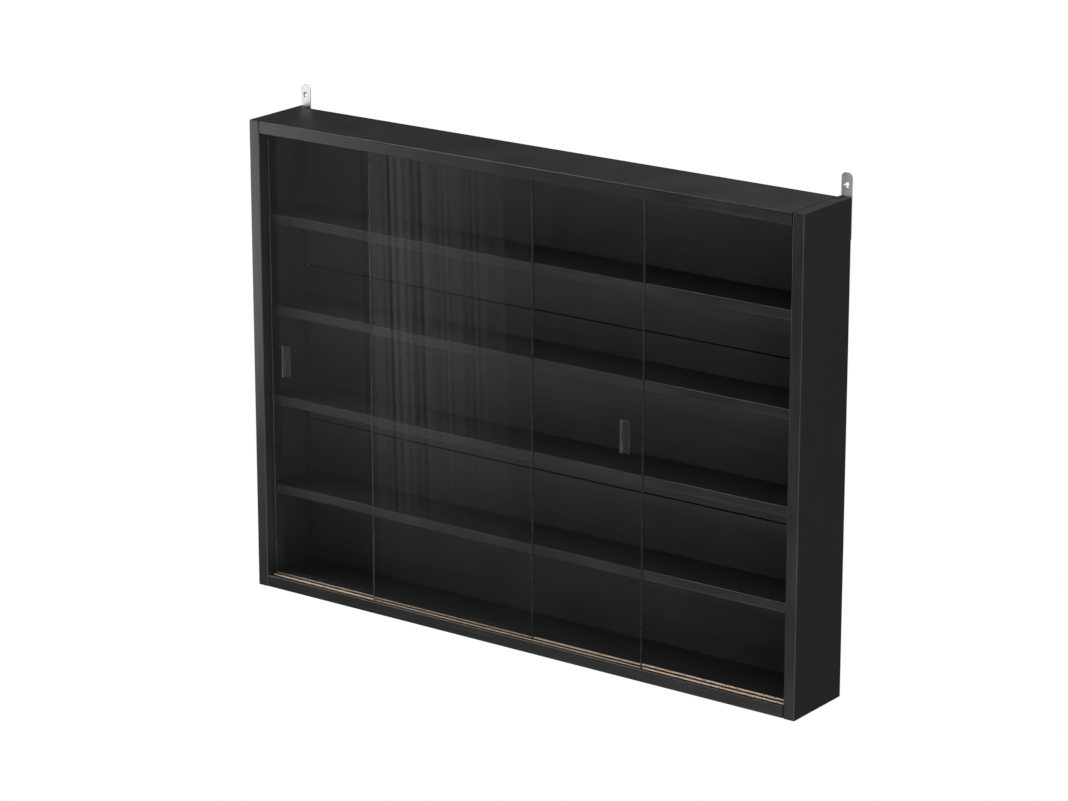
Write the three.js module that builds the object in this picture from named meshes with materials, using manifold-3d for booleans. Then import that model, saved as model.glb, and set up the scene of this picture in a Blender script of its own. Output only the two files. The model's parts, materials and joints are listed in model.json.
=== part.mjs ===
// A shallow wall-mounted display cabinet with four shelves and two sliding glass doors.
// Millimetres, +Z up. +X runs to the viewer's right and +Y into the wall. The origin is midway between
// the two hanging holes, on the wall's surface, so the cabinet hangs below and in front of it.
import * as THREE from "three";
import { mergeVertices } from "three/addons/utils/BufferGeometryUtils.js";
import Module from "manifold-3d";

const wasm = await Module();
wasm.setup();

// ---- Cabinet boards ----
const WIDTH = 800;
const HEIGHT = 600;
const DEPTH = 100;
const BOARD = 15; // side, top and bottom panels
const SHELF_BOARD = 12;
const SHELF_COUNT = 4;
const SHELF_SETBACK = 22; // cabinet front to the shelves' front edges
const BACK_BOARD = 3;
const BACK_SETBACK = 90; // cabinet front to the back panel's front face
const BACK_NAMES = ["lower", "middle", "upper"];
const BACK_JOINT_GAP = 1;
const BACK_GROOVE_WIDTH = 3.4;
const BACK_GROOVE_DEPTH = 5;
const BACK_IN_GROOVE = 4.5;
const TAPE_HEIGHT = 48;
const TAPE_THICKNESS = 0.2;

// ---- Sliding doors and the tracks sawn for them ----
const GLASS = 4;
const TRACK_WIDTH = 5;
const TRACK_STARTS = [5, 14.5]; // cabinet front to each track's front wall
const LOWER_TRACK_DEPTH = 4.5;
const UPPER_TRACK_DEPTH = 9.5; // twice as deep, so a door lifts out
const DOOR_HEAD = 4; // how far a standing door reaches into the upper track
const DOOR_OVERLAP = 35;
const DOOR_END_GAP = 0.5;
const FRONT_DOOR_OPENED = 202.5; // how far left of closed the front door stands
const PULL_WIDTH = 12;
const PULL_HEIGHT = 40;
const PULL_BASE = 1.2;
const PULL_RIDGE = 2;
const PULL_PROUD = 4;
const PULL_MIDDLE = 296.5; // cabinet bottom to the middle of each pull
const FRONT_PULL_INSET = 24; // pull's middle to its door's outer edge
const REAR_PULL_INSET = 25.5;

// ---- Hangers and fasteners ----
const HANGER_WIDTH = 14;
const HANGER_THICKNESS = 1.5;
const HANGER_LENGTH = 80;
const HANGER_CORNER = 5;
const HOLE_ABOVE_TOP = 13.5; // cabinet top to the wall screw's hole
const HOLE_BELOW_TIP = 13.5; // hanger's tip to the same hole
const WALL_HOLE_RADIUS = 2.2;
const WALL_SINK_RADIUS = 4;
const WALL_SINK_DEPTH = 1.2;
const SCREW_DROPS = { upper: 12, lower: 38 }; // cabinet top to each hanger screw
const SCREW_RADIUS = 1.5;
const SCREW_HEAD_RADIUS = 3;
const HEAD_SLOPE = 0.8; // height of a countersunk head's cone over the width of its slope
const SCREW_LENGTH = 15;
const SCREW_TIP = 3;
const DOWEL_LENGTH = 30;
const DOWEL_CHAMFER = 0.8;
const SHELF_DOWEL_RADIUS = 3;
const SHELF_DOWEL_INSET = 16; // shelf's front or back edge to the dowel
const SHELF_DOWEL_IN_SIDE = 9;
const CORNER_DOWEL_RADIUS = 4;
const CORNER_DOWEL_IN_SIDE = 10;
const CORNER_DOWEL_DEPTH = 72; // cabinet front to the corner dowels
const CAM_DEPTH = 42; // cabinet front to the cam bolts
const CAM_INSET = 34; // panel end to the cam's centre
const CAM_RADIUS = 7.5;
const CAM_HEIGHT = 12;
const CAM_MOUTH = 8.4;
const CAM_DRIVE_RADIUS = 2.6;
const CAM_DRIVE_DEPTH = 2.4;
const BOLT_THREAD_RADIUS = 2.5;
const BOLT_THREAD_LENGTH = 10;
const BOLT_COLLAR_RADIUS = 3.6;
const BOLT_COLLAR_LENGTH = 8;
const BOLT_NECK_RADIUS = 2.4;
const BOLT_HEAD_RADIUS = 3.5;
const BOLT_HEAD_LENGTH = 4;
const BOLT_LENGTH = 32.5; // side panel's inner face to the bolt's end
const CAP_RADIUS = 8.5;
const CAP_THICKNESS = 1;
const CAP_PEG_RADIUS = 2.2;
const CAP_PEG_LENGTH = 2;
const NAIL_RADIUS = 0.8;
const NAIL_HEAD_RADIUS = 2;
const NAIL_HEAD_THICKNESS = 0.8;
const NAIL_LENGTH = 20;
const NAIL_SPREAD = 190; // cabinet middle to each nail
const CLEARANCE = 0.2; // round a fastener in its hole
const HOLE_SPARE = 0.5; // room past a fastener's end
const OVERCUT = 1; // how far a cutting shape runs past the face it opens
const ROUND_STEPS = 12; // sides of a small round piece
const CAM_STEPS = 24; // sides of a cam, its pocket and its cap
const SLENDER_STEPS = 10; // sides of a nail
const PULL_ARC_STEPS = 6;
const HANGER_ARC_STEPS = 5;
const MERGE_WITHIN = 1e-4; // vertices closer than this become one

// ---- Derived places, in the cabinet's frame: Y = 0 at its front, Z = 0 at its bottom ----
const INNER_HALF = WIDTH / 2 - BOARD;
const INNER_TOP = HEIGHT - BOARD;
const SIDE_MIDDLE = WIDTH / 2 - BOARD / 2;
const COMPARTMENT = (HEIGHT - 2 * BOARD - SHELF_COUNT * SHELF_BOARD) / (SHELF_COUNT + 1);
const STRIP_HEIGHT = (HEIGHT - (BACK_NAMES.length - 1) * BACK_JOINT_GAP) / BACK_NAMES.length;
const BACK_REAR = BACK_SETBACK + BACK_BOARD;
const DOOR_WIDTH = (2 * INNER_HALF - 2 * DOOR_END_GAP + DOOR_OVERLAP) / 2;
const DOOR_BOTTOM = BOARD - LOWER_TRACK_DEPTH;
const DOOR_TOP = INNER_TOP + DOOR_HEAD;
const DOOR_TRAVEL_END = INNER_HALF - DOOR_END_GAP;
const WALL_PLANE = DEPTH + HANGER_THICKNESS;
const CABINET_DROP = HEIGHT + HOLE_ABOVE_TOP;
const SIDES = { left: -1, right: 1 };
const SHELF_DOWEL_DEPTHS = {
  front: SHELF_SETBACK + SHELF_DOWEL_INSET,
  back: BACK_SETBACK - SHELF_DOWEL_INSET,
};
const PANEL_MIDDLES = { top: HEIGHT - BOARD / 2, bottom: BOARD / 2 };

const shelfBottom = (number) => BOARD + number * COMPARTMENT + (number - 1) * SHELF_BOARD;
const shelfMiddle = (number) => shelfBottom(number) + SHELF_BOARD / 2;
const shelfNumbers = Array.from({ length: SHELF_COUNT }, (_, index) => index + 1);

// ---- Finishes ----
const finish = (color, roughness, metalness = 0) =>
  new THREE.MeshStandardMaterial({ color, roughness, metalness });
const blackBoard = finish(0x242424, 0.5);
const blackHardboard = finish(0x2a2a2a, 0.6);
const brownTape = finish(0x8a6a45, 0.5);
const satinSteel = finish(0xb4b4b0, 0.35, 1);
const zinc = finish(0x9c9ca0, 0.4, 1);
const beech = finish(0xcfa46e, 0.7);
const blackCap = finish(0x1c1c1c, 0.4);
const clearFinish = (color, roughness, opacity) =>
  new THREE.MeshStandardMaterial({ color, roughness, opacity, transparent: true });
const clearPlastic = clearFinish(0xe6eeee, 0.1, 0.4);
const clearGlass = clearFinish(0xcfe0da, 0.02, 0.25);

// ---- Shape helpers ----

// A closed geometry as a solid that can be cut.
function solidOf(geometry) {
  const bare = geometry.index ? geometry.toNonIndexed() : geometry.clone();
  bare.deleteAttribute("normal");
  bare.deleteAttribute("uv");
  const merged = mergeVertices(bare, MERGE_WITHIN);
  return new wasm.Manifold(
    new wasm.Mesh({
      numProp: 3,
      vertProperties: merged.attributes.position.array,
      triVerts: new Uint32Array(merged.index.array),
    }),
  );
}

function geometryOf(solid) {
  const mesh = solid.getMesh();
  const geometry = new THREE.BufferGeometry();
  geometry.setAttribute("position", new THREE.BufferAttribute(mesh.vertProperties, mesh.numProp));
  geometry.setIndex(new THREE.BufferAttribute(mesh.triVerts, 1));
  geometry.computeVertexNormals();
  return geometry;
}

// A flat shape in X and Y drawn out along Z.
function extruded(outline, depth, curveSegments) {
  return new THREE.ExtrudeGeometry(outline, { depth, curveSegments, bevelEnabled: false });
}

function cut(geometry, tools) {
  let solid = solidOf(geometry);
  for (const tool of tools) {
    solid = solid.subtract(solidOf(tool));
  }
  return geometryOf(solid);
}

// A block between two corners.
function block([x0, y0, z0], [x1, y1, z1]) {
  const geometry = new THREE.BoxGeometry(x1 - x0, y1 - y0, z1 - z0);
  return geometry.translate((x0 + x1) / 2, (y0 + y1) / 2, (z0 + z1) / 2);
}

// A round piece turned about the Y axis from [radius, y] pairs that rise from the axis and return to it.
function turned(profile, steps = ROUND_STEPS) {
  return new THREE.LatheGeometry(
    profile.map(([radius, y]) => new THREE.Vector2(radius, y)),
    steps,
  );
}

// A plain round bar along Y from one end to the other.
function bar(radius, from, to, steps = ROUND_STEPS) {
  return turned([[0, from], [radius, from], [radius, to], [0, to]], steps);
}

// The same along X and along Z.
const alongX = (geometry) => geometry.rotateZ(-Math.PI / 2);
const alongZ = (geometry) => geometry.rotateX(Math.PI / 2);

const cabinet = new THREE.Group();

function piece(name, geometry, material, x = 0, y = 0, z = 0) {
  const mesh = new THREE.Mesh(geometry, material);
  mesh.name = name;
  mesh.position.set(x, y, z);
  cabinet.add(mesh);
  return mesh;
}

// ---- Fasteners, each lying along +X, +Y or +Z of its own frame ----

// A beech dowel, centred, with chamfered ends.
function dowel(radius) {
  const half = DOWEL_LENGTH / 2;
  const profile = [
    [0, -half],
    [radius - DOWEL_CHAMFER, -half],
    [radius, -half + DOWEL_CHAMFER],
    [radius, half - DOWEL_CHAMFER],
    [radius - DOWEL_CHAMFER, half],
    [0, half],
  ];
  return alongX(turned(profile));
}

// A connecting bolt: thread below 0, in the side panel, then collar, neck and a head that the cam grips.
function camBolt() {
  const headStart = BOLT_LENGTH - BOLT_HEAD_LENGTH;
  const profile = [
    [0, -BOLT_THREAD_LENGTH],
    [BOLT_THREAD_RADIUS, -BOLT_THREAD_LENGTH],
    [BOLT_THREAD_RADIUS, CLEARANCE],
    [BOLT_COLLAR_RADIUS, CLEARANCE],
    [BOLT_COLLAR_RADIUS, BOLT_COLLAR_LENGTH],
    [BOLT_NECK_RADIUS, BOLT_COLLAR_LENGTH],
    [BOLT_NECK_RADIUS, headStart],
    [BOLT_HEAD_RADIUS, headStart + BOLT_HEAD_LENGTH / 3],
    [BOLT_HEAD_RADIUS, BOLT_LENGTH - BOLT_HEAD_LENGTH / 3],
    [0, BOLT_LENGTH],
  ];
  return alongX(turned(profile));
}

// A cam drum standing on Z = 0, its driver hole in the lower face and its mouth towards +X.
function camLock() {
  const drum = alongZ(bar(CAM_RADIUS, 0, CAM_HEIGHT, CAM_STEPS));
  const middle = BOARD / 2;
  const mouth = block(
    [-CAM_MOUTH / 2, -CAM_MOUTH / 2, middle - CAM_MOUTH / 2],
    [CAM_RADIUS + OVERCUT, CAM_MOUTH / 2, middle + CAM_MOUTH / 2],
  );
  return cut(drum, [mouth, alongZ(bar(CAM_DRIVE_RADIUS, -OVERCUT, CAM_DRIVE_DEPTH))]);
}

// A cover cap hanging below Z = 0, with a peg that holds in the cam's driver hole.
function camCap() {
  const profile = [
    [0, -CAP_THICKNESS],
    [CAP_RADIUS - CAP_THICKNESS / 2, -CAP_THICKNESS],
    [CAP_RADIUS, -CAP_THICKNESS / 2],
    [CAP_RADIUS, 0],
    [CAP_PEG_RADIUS, 0],
    [CAP_PEG_RADIUS, CAP_PEG_LENGTH],
    [0, CAP_PEG_LENGTH],
  ];
  return alongZ(turned(profile, CAM_STEPS));
}

// A countersunk screw with its head's face at Y = 0 and its tip at -Y.
function hangerScrew() {
  const profile = [
    [0, -SCREW_LENGTH],
    [SCREW_RADIUS, -SCREW_LENGTH + SCREW_TIP],
    [SCREW_RADIUS, -HANGER_THICKNESS],
    [SCREW_HEAD_RADIUS, -HANGER_THICKNESS + (SCREW_HEAD_RADIUS - SCREW_RADIUS) * HEAD_SLOPE],
    [SCREW_HEAD_RADIUS, 0],
    [0, 0],
  ];
  return turned(profile);
}

// A nail with its head standing proud of Y = 0 and its tip at -Y.
function backNail() {
  const profile = [
    [0, -NAIL_LENGTH],
    [NAIL_RADIUS, -NAIL_LENGTH + 2 * NAIL_RADIUS],
    [NAIL_RADIUS, 0],
    [NAIL_HEAD_RADIUS, 0],
    [NAIL_HEAD_RADIUS, NAIL_HEAD_THICKNESS],
    [0, NAIL_HEAD_THICKNESS],
  ];
  return turned(profile, SLENDER_STEPS);
}

// ---- Side panels ----

function sidePanel(side) {
  const inner = side * INNER_HALF;
  const outer = (side * WIDTH) / 2;
  const board = block([Math.min(inner, outer), 0, 0], [Math.max(inner, outer), DEPTH, HEIGHT]);

  // A hole bored outwards from the inner face.
  const bored = (radius, depth, y, z) =>
    alongX(bar(radius + CLEARANCE, -OVERCUT, depth + HOLE_SPARE))
      .scale(side, side, 1)
      .translate(inner, y, z);

  const grooveEnds = [inner - side * OVERCUT, inner + side * BACK_GROOVE_DEPTH];
  const groove = block(
    [Math.min(...grooveEnds), BACK_SETBACK, -OVERCUT],
    [Math.max(...grooveEnds), BACK_SETBACK + BACK_GROOVE_WIDTH, HEIGHT + OVERCUT],
  );
  const shelfHoles = shelfNumbers.flatMap((number) =>
    Object.values(SHELF_DOWEL_DEPTHS).map((y) =>
      bored(SHELF_DOWEL_RADIUS, SHELF_DOWEL_IN_SIDE, y, shelfMiddle(number)),
    ),
  );
  const cornerHoles = Object.values(PANEL_MIDDLES).flatMap((z) => [
    bored(CORNER_DOWEL_RADIUS, CORNER_DOWEL_IN_SIDE, CORNER_DOWEL_DEPTH, z),
    bored(BOLT_THREAD_RADIUS, BOLT_THREAD_LENGTH, CAM_DEPTH, z),
  ]);
  const screwHoles = Object.values(SCREW_DROPS).map((drop) =>
    bar(SCREW_RADIUS + CLEARANCE, -SCREW_LENGTH - HOLE_SPARE, OVERCUT)
      .translate(side * SIDE_MIDDLE, WALL_PLANE, HEIGHT - drop),
  );
  return cut(board, [groove, ...shelfHoles, ...cornerHoles, ...screwHoles]);
}

for (const [name, side] of Object.entries(SIDES)) {
  piece("side_panel_" + name, sidePanel(side), blackBoard);
}

// ---- Top and bottom panels, with the doors' tracks ----

function endPanel(bottom, trackFloor, trackMouth) {
  const board = block([-INNER_HALF, 0, bottom], [INNER_HALF, BACK_SETBACK, bottom + BOARD]);
  const tracks = TRACK_STARTS.map((start) =>
    block(
      [-INNER_HALF - OVERCUT, start, Math.min(trackFloor, trackMouth)],
      [INNER_HALF + OVERCUT, start + TRACK_WIDTH, Math.max(trackFloor, trackMouth)],
    ),
  );
  const middle = bottom + BOARD / 2;
  const endHoles = Object.values(SIDES).flatMap((side) => {
    const bored = (radius, depth, y) =>
      alongX(bar(radius + CLEARANCE, -OVERCUT, depth + HOLE_SPARE))
        .scale(-side, -side, 1)
        .translate(side * INNER_HALF, y, middle);
    const pocket = alongZ(bar(CAM_RADIUS + CLEARANCE, -OVERCUT, CAM_HEIGHT + HOLE_SPARE, CAM_STEPS))
      .translate(side * (INNER_HALF - CAM_INSET), CAM_DEPTH, bottom);
    return [
      bored(CORNER_DOWEL_RADIUS, DOWEL_LENGTH - CORNER_DOWEL_IN_SIDE, CORNER_DOWEL_DEPTH),
      bored(BOLT_COLLAR_RADIUS, CAM_INSET, CAM_DEPTH),
      pocket,
    ];
  });
  const nailHoles = Object.values(SIDES).map((side) =>
    bar(NAIL_RADIUS + CLEARANCE, -NAIL_LENGTH - HOLE_SPARE, OVERCUT)
      .translate(side * NAIL_SPREAD, BACK_REAR, middle),
  );
  return cut(board, [...tracks, ...endHoles, ...nailHoles]);
}

piece("top_panel", endPanel(INNER_TOP, INNER_TOP + UPPER_TRACK_DEPTH, INNER_TOP - OVERCUT), blackBoard);
piece("bottom_panel", endPanel(0, DOOR_BOTTOM, BOARD + OVERCUT), blackBoard);

for (const [end, z] of Object.entries(PANEL_MIDDLES)) {
  for (const [name, side] of Object.entries(SIDES)) {
    const label = end + "_" + name;
    const dowelX = side * (INNER_HALF + CORNER_DOWEL_IN_SIDE - DOWEL_LENGTH / 2);
    const camX = side * (INNER_HALF - CAM_INSET);
    const underside = z - BOARD / 2;
    piece("corner_dowel_" + label, dowel(CORNER_DOWEL_RADIUS), beech, dowelX, CORNER_DOWEL_DEPTH, z);
    const bolt = piece("cam_bolt_" + label, camBolt(), zinc, side * INNER_HALF, CAM_DEPTH, z);
    const cam = piece("cam_lock_" + label, camLock(), zinc, camX, CAM_DEPTH, underside);
    piece("cam_cap_" + label, camCap(), blackCap, camX, CAM_DEPTH, underside);
    bolt.rotation.z = side > 0 ? Math.PI : 0; // it points from the side panel to the cabinet's middle
    cam.rotation.z = side > 0 ? 0 : Math.PI; // its mouth faces the bolt
  }
}

// ---- Shelves ----

function shelf(number) {
  const bottom = shelfBottom(number);
  const top = bottom + SHELF_BOARD;
  const board = block([-INNER_HALF, SHELF_SETBACK, bottom], [INNER_HALF, BACK_SETBACK, top]);
  const holeDepth = DOWEL_LENGTH - SHELF_DOWEL_IN_SIDE + HOLE_SPARE;
  const holes = Object.values(SIDES).flatMap((side) =>
    Object.values(SHELF_DOWEL_DEPTHS).map((y) =>
      alongX(bar(SHELF_DOWEL_RADIUS + CLEARANCE, -OVERCUT, holeDepth))
        .scale(-side, -side, 1)
        .translate(side * INNER_HALF, y, shelfMiddle(number)),
    ),
  );
  return cut(board, holes);
}

for (const number of shelfNumbers) {
  piece("shelf_" + number, shelf(number), blackBoard);
  for (const [name, side] of Object.entries(SIDES)) {
    for (const [place, y] of Object.entries(SHELF_DOWEL_DEPTHS)) {
      const x = side * (INNER_HALF + SHELF_DOWEL_IN_SIDE - DOWEL_LENGTH / 2);
      const label = "shelf_" + number + "_dowel_" + name + "_" + place;
      piece(label, dowel(SHELF_DOWEL_RADIUS), beech, x, y, shelfMiddle(number));
    }
  }
}

// ---- Back panel: three strips in the side panels' grooves, taped behind and nailed at the ends ----

const stripHalf = INNER_HALF + BACK_IN_GROOVE;
const nailedStrips = { lower: "bottom", upper: "top" };

BACK_NAMES.forEach((name, index) => {
  const bottom = index * (STRIP_HEIGHT + BACK_JOINT_GAP);
  const top = bottom + STRIP_HEIGHT;
  const strip = block([-stripHalf, BACK_SETBACK, bottom], [stripHalf, BACK_REAR, top]);
  const nailed = nailedStrips[name];
  const holes = !nailed ? [] : Object.values(SIDES).map((side) =>
    bar(NAIL_RADIUS + CLEARANCE, -BACK_BOARD - OVERCUT, OVERCUT)
      .translate(side * NAIL_SPREAD, BACK_REAR, PANEL_MIDDLES[nailed]),
  );
  piece("back_panel_" + name, cut(strip, holes), blackHardboard);
  if (index > 0) {
    const jointZ = bottom - BACK_JOINT_GAP / 2;
    const tape = new THREE.BoxGeometry(2 * INNER_HALF - 2 * OVERCUT, TAPE_THICKNESS, TAPE_HEIGHT);
    piece("back_tape_" + name, tape, brownTape, 0, BACK_REAR + TAPE_THICKNESS / 2, jointZ);
  }
});

for (const end of Object.values(nailedStrips)) {
  for (const [name, side] of Object.entries(SIDES)) {
    const label = "back_nail_" + end + "_" + name;
    piece(label, backNail(), zinc, side * NAIL_SPREAD, BACK_REAR, PANEL_MIDDLES[end]);
  }
}

// ---- Sliding glass doors with their stick-on finger pulls ----

// A clear plastic pull standing on the glass at Y = 0: a thin base with a ridge along its left edge.
function fingerPull() {
  const round = PULL_RIDGE / 2;
  const outline = new THREE.Shape();
  outline.moveTo(0, 0);
  outline.lineTo(PULL_WIDTH, 0);
  outline.lineTo(PULL_WIDTH, PULL_BASE / 2);
  outline.absarc(PULL_WIDTH - PULL_BASE / 2, PULL_BASE / 2, PULL_BASE / 2, 0, Math.PI / 2);
  outline.lineTo(PULL_RIDGE, PULL_BASE);
  outline.absarc(round, PULL_PROUD - round, round, 0, Math.PI);
  outline.closePath();
  return extruded(outline, PULL_HEIGHT, PULL_ARC_STEPS)
    .rotateZ(Math.PI)
    .translate(PULL_WIDTH / 2, 0, -PULL_HEIGHT / 2)
    .rotateY(Math.PI);
}

function glassDoor(name, trackStart, left, pullX) {
  const front = trackStart + (TRACK_WIDTH - GLASS) / 2;
  const pane = block([0, 0, 0], [DOOR_WIDTH, GLASS, DOOR_TOP - DOOR_BOTTOM]);
  piece("glass_door_" + name, pane, clearGlass, left, front, DOOR_BOTTOM);
  piece("finger_pull_" + name, fingerPull(), clearPlastic, pullX, front, PULL_MIDDLE);
}

const frontDoorRight = DOOR_TRAVEL_END - FRONT_DOOR_OPENED;
glassDoor("front", TRACK_STARTS[0], frontDoorRight - DOOR_WIDTH, frontDoorRight - FRONT_PULL_INSET);
glassDoor("rear", TRACK_STARTS[1], -DOOR_TRAVEL_END, -DOOR_TRAVEL_END + REAR_PULL_INSET);

// ---- Hangers: flat steel strips screwed to the side panels' back edges ----

// A strip whose wall face is Y = 0 and whose wall screw's hole is centred on the origin.
function hanger() {
  const half = HANGER_WIDTH / 2;
  const top = HOLE_BELOW_TIP;
  const bottom = top - HANGER_LENGTH;
  const arcX = half - HANGER_CORNER;
  const outline = new THREE.Shape();
  outline.moveTo(half, bottom + HANGER_CORNER);
  outline.absarc(arcX, top - HANGER_CORNER, HANGER_CORNER, 0, Math.PI / 2);
  outline.absarc(-arcX, top - HANGER_CORNER, HANGER_CORNER, Math.PI / 2, Math.PI);
  outline.absarc(-arcX, bottom + HANGER_CORNER, HANGER_CORNER, Math.PI, 1.5 * Math.PI);
  outline.absarc(arcX, bottom + HANGER_CORNER, HANGER_CORNER, 1.5 * Math.PI, 2 * Math.PI);
  const strip = extruded(outline, HANGER_THICKNESS, HANGER_ARC_STEPS);
  strip.rotateX(Math.PI / 2);

  // The wall screw goes in from the front, so its hole widens towards -Y.
  const wallHole = turned([
    [0, -HANGER_THICKNESS - OVERCUT],
    [WALL_SINK_RADIUS + OVERCUT, -HANGER_THICKNESS - OVERCUT],
    [WALL_HOLE_RADIUS, -HANGER_THICKNESS + WALL_SINK_DEPTH],
    [WALL_HOLE_RADIUS, OVERCUT],
    [0, OVERCUT],
  ]);
  // The screws that hold the strip go in from behind, so their holes widen towards +Y.
  const shank = SCREW_RADIUS + CLEARANCE;
  const head = SCREW_HEAD_RADIUS + CLEARANCE;
  const screwHoles = Object.values(SCREW_DROPS).map((drop) =>
    turned([
      [0, -HANGER_THICKNESS - OVERCUT],
      [shank, -HANGER_THICKNESS - OVERCUT],
      [shank, -HANGER_THICKNESS - CLEARANCE],
      [head, -HANGER_THICKNESS - CLEARANCE + (head - shank) * HEAD_SLOPE],
      [head, OVERCUT],
      [0, OVERCUT],
    ]).translate(0, 0, -HOLE_ABOVE_TOP - drop),
  );
  return cut(strip, [wallHole, ...screwHoles]);
}

for (const [name, side] of Object.entries(SIDES)) {
  const x = side * SIDE_MIDDLE;
  piece("hanger_" + name, hanger(), satinSteel, x, WALL_PLANE, CABINET_DROP);
  for (const [place, drop] of Object.entries(SCREW_DROPS)) {
    piece("hanger_screw_" + name + "_" + place, hangerScrew(), zinc, x, WALL_PLANE, HEIGHT - drop);
  }
}

// ---- The whole object, moved so that the wall and the hanging holes pass through its origin ----

cabinet.position.set(0, -WALL_PLANE, -CABINET_DROP);
const showcase = new THREE.Group();
showcase.add(cabinet);

export default showcase;
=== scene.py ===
"""A black wall display cabinet with two sliding glass doors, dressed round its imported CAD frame.

Metres, in the row frame: the wall is Y = 0, the room is towards -Y and Z = 0 is at the hanging holes.
"""

import json
import math

import bmesh
import bpy
from mathutils import Matrix, Vector


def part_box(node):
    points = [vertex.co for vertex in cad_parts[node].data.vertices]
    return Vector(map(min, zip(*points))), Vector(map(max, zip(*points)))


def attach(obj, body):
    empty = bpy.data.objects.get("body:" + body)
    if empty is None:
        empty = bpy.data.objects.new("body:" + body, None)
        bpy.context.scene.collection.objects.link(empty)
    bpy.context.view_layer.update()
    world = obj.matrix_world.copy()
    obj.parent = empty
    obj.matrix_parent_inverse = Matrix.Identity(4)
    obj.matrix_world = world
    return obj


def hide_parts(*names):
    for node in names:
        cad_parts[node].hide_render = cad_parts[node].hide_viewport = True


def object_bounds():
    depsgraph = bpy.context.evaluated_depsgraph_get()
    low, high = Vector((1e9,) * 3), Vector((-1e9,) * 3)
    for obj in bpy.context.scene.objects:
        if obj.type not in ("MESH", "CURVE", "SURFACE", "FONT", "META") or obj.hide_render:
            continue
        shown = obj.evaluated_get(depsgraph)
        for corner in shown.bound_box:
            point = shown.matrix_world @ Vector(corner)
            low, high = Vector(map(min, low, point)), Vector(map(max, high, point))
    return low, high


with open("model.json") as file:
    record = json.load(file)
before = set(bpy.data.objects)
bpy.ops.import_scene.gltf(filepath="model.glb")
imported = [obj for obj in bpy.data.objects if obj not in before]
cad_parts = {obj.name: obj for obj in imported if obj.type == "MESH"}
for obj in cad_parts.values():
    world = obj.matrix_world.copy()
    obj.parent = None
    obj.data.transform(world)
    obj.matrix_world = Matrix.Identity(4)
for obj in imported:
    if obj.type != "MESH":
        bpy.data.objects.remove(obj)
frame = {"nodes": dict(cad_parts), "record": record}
cad_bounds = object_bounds()
record = frame["record"]

MM = 0.001
X, Y, Z = range(3)
WHITE = (1, 1, 1, 1)

WELD = 0.001 * MM  # points nearer than this are one point
TOUCH = 0.01 * MM  # how near a face counts as lying in a plane
FLAT = 0.99  # a face whose normal has a component over this faces along an axis
SKIN = 1.2 * MM  # deeper than this inside a board, what shows is the raw core
SHADED_END_MARGIN = 3 * MM  # how far the painted shade of the seam reaches onto a sawn end from its front, top and bottom edges
SEAM = 1.1 * MM  # gap where the top and bottom meet the side panels
SHELF_SEAM = 0.1 * MM

# Radii of the eased edges
BOARD_EASE = 1 * MM
SAWN_EASE = 0.2 * MM
SEAM_EASE = 0.35 * MM
STRIP_EASE = 0.6 * MM
GLASS_ARRIS = 0.5 * MM
STEEL_EASE = 0.25 * MM
PLASTIC_EASE = 0.3 * MM

SLOT_OF = {part["node"]: part["material_slot"] for part in record["subparts"]}
BODY_OF = {node: body for body, nodes in record["behaviour"]["bodies"].items() for node in nodes}


# ---- Node helpers ----

def put(tree, kind, inputs=None, **settings):
    """A node, with its inputs given as values or as the sockets that feed them."""
    made = tree.nodes.new(kind)
    for key, value in settings.items():
        setattr(made, key, value)
    for key, value in (inputs or {}).items():
        if isinstance(value, bpy.types.NodeSocket):
            tree.links.new(value, made.inputs[key])
        else:
            made.inputs[key].default_value = value
    return made


def new_material(name):
    material = bpy.data.materials.new(name)
    material.use_nodes = True
    material.node_tree.nodes.clear()
    return material, material.node_tree


def finish_material(tree, shader):
    put(tree, "ShaderNodeOutputMaterial", {"Surface": shader.outputs[0]})


def noise(tree, scale, detail=4, roughness=0.5, stretch=(1, 1, 1)):
    """A noise of so many features a metre, stretched along some axes."""
    place = put(tree, "ShaderNodeTexCoord").outputs["Object"]
    mapped = put(tree, "ShaderNodeMapping", {"Vector": place, "Scale": tuple(scale * s for s in stretch)})
    inputs = {"Vector": mapped.outputs[0], "Scale": 1.0, "Detail": detail, "Roughness": roughness}
    return put(tree, "ShaderNodeTexNoise", inputs).outputs["Fac"]


def ramp(tree, factor, stops):
    """A colour ramp through (position, colour) stops."""
    made = put(tree, "ShaderNodeValToRGB", {"Fac": factor})
    elements = made.color_ramp.elements
    while len(elements) < len(stops):
        elements.new(0.5)
    for element, (position, colour) in zip(elements, stops):
        element.position = position
        element.color = (*colour, 1)
    return made.outputs["Color"]


def spread(tree, factor, low, high, start=0.3, end=0.7):
    """factor from start to end, as a number from low to high."""
    inputs = {"Value": factor, "From Min": start, "From Max": end, "To Min": low, "To Max": high}
    return put(tree, "ShaderNodeMapRange", inputs).outputs["Result"]


def bump(tree, height, distance, strength=1.0):
    inputs = {"Height": height, "Distance": distance, "Strength": strength}
    return put(tree, "ShaderNodeBump", inputs).outputs["Normal"]


def grey(level):
    return (level, level, level)


# ---- Camera and studio ----

CAMERA_AZIMUTH = 36.14
CAMERA_ELEVATION = 16.89
CAMERA_DISTANCE = 4.688
CAMERA_LENS = 132.27
CAMERA_SENSOR = 36
CAMERA_CLIP = (0.1, 200)
AIM_OFFSET = Vector((-6.3 * MM, 0, 0.4 * MM))
FLOOR_DROP = 1.2
FLOOR_SIZE = 60

# How bright the studio is, where white is 1: an even fill, and more towards a side, as axis, sign and level
WORLD_FILL = 0.02
WORLD_TOWARDS = {"right": (X, 1, 0.2), "wall": (Y, 1, 0.03)}

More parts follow.
